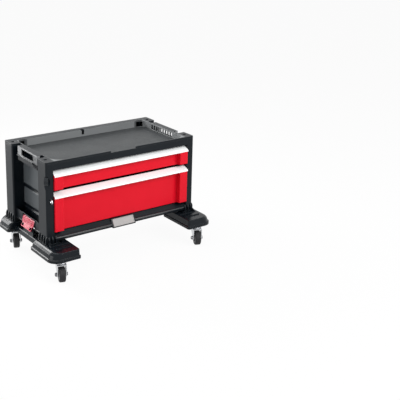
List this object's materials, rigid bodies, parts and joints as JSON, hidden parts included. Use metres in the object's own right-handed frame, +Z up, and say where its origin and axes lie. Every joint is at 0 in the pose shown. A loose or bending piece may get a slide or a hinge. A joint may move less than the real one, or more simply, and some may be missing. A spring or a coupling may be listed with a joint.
{
  "type": "drawer tool cart",
  "caption": "Low plastic tool chest with full-width drawers, a tray top, a sliding drawer lock and hinged side latches, standing on a swivel-caster dolly.",
  "frame": {"origin": "on the floor, in the middle of the whole footprint", "axes": "+X across the front to the viewer's right, +Y from the drawer fronts to the back, +Z up"},
  "size_m": [0.618, 0.4066, 0.367],
  "materials": {
    "black_plastic": "fine-grained black polypropylene",
    "red_plastic": "satin red polypropylene",
    "satin_strip": "satin anodised",
    "zinc_steel": "bright zinc plated",
    "badge_metal": "brushed, bare",
    "tyre_tread": "soft grey-black tread",
    "hub_plastic": "moulded nylon",
    "pad_plastic": "natural acetal"
  },
  "bodies": {
    "chest_and_dolly": {"top_deck": "black_plastic", "side_panel_left": "black_plastic", "side_panel_right": "black_plastic", "back_panel": "black_plastic", "bottom_panel": "black_plastic", "front_rail": "black_plastic", "front_sill": "black_plastic", "badge_plate": "badge_metal", "corner_foot_front_left": "black_plastic", "corner_foot_front_right": "black_plastic", "corner_foot_rear_left": "black_plastic", "corner_foot_rear_right": "black_plastic", "lock_eye": "zinc_steel", "latch_pins": "zinc_steel", "dolly_member_left": "black_plastic", "dolly_member_right": "black_plastic", "upper_fixed_rail_left": "zinc_steel", "upper_fixed_rail_right": "zinc_steel", "lower_fixed_rail_left": "zinc_steel", "lower_fixed_rail_right": "zinc_steel", "caster_plate_front_left": "zinc_steel", "caster_plate_front_right": "zinc_steel", "caster_plate_rear_left": "zinc_steel", "caster_plate_rear_right": "zinc_steel"},
    "upper_drawer": {"upper_drawer_front": "red_plastic", "upper_drawer_strip": "satin_strip", "upper_drawer_tub": "black_plastic", "upper_drawer_rail_left": "zinc_steel", "upper_drawer_rail_right": "zinc_steel"},
    "upper_middle_rails": {"upper_middle_rail_left": "zinc_steel", "upper_middle_rail_right": "zinc_steel", "upper_slide_pads": "pad_plastic"},
    "lower_drawer": {"lower_drawer_front": "red_plastic", "lower_drawer_strip": "satin_strip", "lower_drawer_tub": "black_plastic", "lower_drawer_rail_left": "zinc_steel", "lower_drawer_rail_right": "zinc_steel"},
    "lower_middle_rails": {"lower_middle_rail_left": "zinc_steel", "lower_middle_rail_right": "zinc_steel", "lower_slide_pads": "pad_plastic"},
    "lock": {"lock_bar": "zinc_steel", "lock_lever": "black_plastic"},
    "side_latch_left_leaf": {"side_latch_left": "red_plastic"},
    "side_latch_right_leaf": {"side_latch_right": "red_plastic"},
    "swivel_front_left": {"caster_fork_front_left": "zinc_steel", "caster_axle_front_left": "zinc_steel"},
    "wheel_front_left": {"caster_tyre_front_left": "tyre_tread", "caster_hub_front_left": "hub_plastic"},
    "swivel_front_right": {"caster_fork_front_right": "zinc_steel", "caster_axle_front_right": "zinc_steel"},
    "wheel_front_right": {"caster_tyre_front_right": "tyre_tread", "caster_hub_front_right": "hub_plastic"},
    "swivel_rear_left": {"caster_fork_rear_left": "zinc_steel", "caster_axle_rear_left": "zinc_steel"},
    "wheel_rear_left": {"caster_tyre_rear_left": "tyre_tread", "caster_hub_rear_left": "hub_plastic"},
    "swivel_rear_right": {"caster_fork_rear_right": "zinc_steel", "caster_axle_rear_right": "zinc_steel"},
    "wheel_rear_right": {"caster_tyre_rear_right": "tyre_tread", "caster_hub_rear_right": "hub_plastic"}
  },
  "joints": [
    {"name": "upper_drawer_slide", "type": "slide", "parent": "chest_and_dolly", "child": "upper_drawer", "axis": [0, -1, 0], "range_m": [0, 0.2]},
    {"name": "upper_middle_rail_slide", "type": "slide", "parent": "chest_and_dolly", "child": "upper_middle_rails", "axis": [0, -1, 0], "range_m": [0, 0.1]},
    {"name": "lower_drawer_slide", "type": "slide", "parent": "chest_and_dolly", "child": "lower_drawer", "axis": [0, -1, 0], "range_m": [0, 0.2]},
    {"name": "lower_middle_rail_slide", "type": "slide", "parent": "chest_and_dolly", "child": "lower_middle_rails", "axis": [0, -1, 0], "range_m": [0, 0.1]},
    {"name": "lock_lever_slide", "type": "slide", "parent": "chest_and_dolly", "child": "lock", "axis": [0, 0, -1], "range_m": [0, 0.009]},
    {"name": "side_latch_left_hinge", "type": "hinge", "parent": "chest_and_dolly", "child": "side_latch_left_leaf", "pos_m": [-0.267, 0.03685, 0.134], "axis": [0, 1, 0], "range_deg": [0, 85]},
    {"name": "side_latch_right_hinge", "type": "hinge", "parent": "chest_and_dolly", "child": "side_latch_right_leaf", "pos_m": [0.267, 0.03685, 0.134], "axis": [0, -1, 0], "range_deg": [0, 85]},
    {"name": "swivel_front_left_turn", "type": "hinge", "parent": "chest_and_dolly", "child": "swivel_front_left", "pos_m": [-0.263, -0.15665, 0.056], "axis": [0, 0, 1], "continuous": true},
    {"name": "wheel_front_left_roll", "type": "hinge", "parent": "swivel_front_left", "child": "wheel_front_left", "pos_m": [-0.26994, -0.17753, 0.025], "axis": [0.9489, -0.3156, 0], "continuous": true},
    {"name": "swivel_front_right_turn", "type": "hinge", "parent": "chest_and_dolly", "child": "swivel_front_right", "pos_m": [0.263, -0.15665, 0.056], "axis": [0, 0, 1], "continuous": true},
    {"name": "wheel_front_right_roll", "type": "hinge", "parent": "swivel_front_right", "child": "wheel_front_right", "pos_m": [0.25423, -0.17683, 0.025], "axis": [0.9171, -0.3987, 0], "continuous": true},
    {"name": "swivel_rear_left_turn", "type": "hinge", "parent": "chest_and_dolly", "child": "swivel_rear_left", "pos_m": [-0.263, 0.15735, 0.056], "axis": [0, 0, 1], "continuous": true},
    {"name": "wheel_rear_left_roll", "type": "hinge", "parent": "swivel_rear_left", "child": "wheel_rear_left", "pos_m": [-0.27088, 0.13681, 0.025], "axis": [0.9336, -0.3584, 0], "continuous": true},
    {"name": "swivel_rear_right_turn", "type": "hinge", "parent": "chest_and_dolly", "child": "swivel_rear_right", "pos_m": [0.263, 0.15735, 0.056], "axis": [0, 0, 1], "continuous": true},
    {"name": "wheel_rear_right_roll", "type": "hinge", "parent": "swivel_rear_right", "child": "wheel_rear_right", "pos_m": [0.25657, 0.13631, 0.025], "axis": [0.9563, -0.2924, 0], "continuous": true}
  ],
  "couplings": [
    {"joint": "upper_middle_rail_slide", "follows": "upper_drawer_slide", "ratio": 0.5},
    {"joint": "lower_middle_rail_slide", "follows": "lower_drawer_slide", "ratio": 0.5}
  ]
}
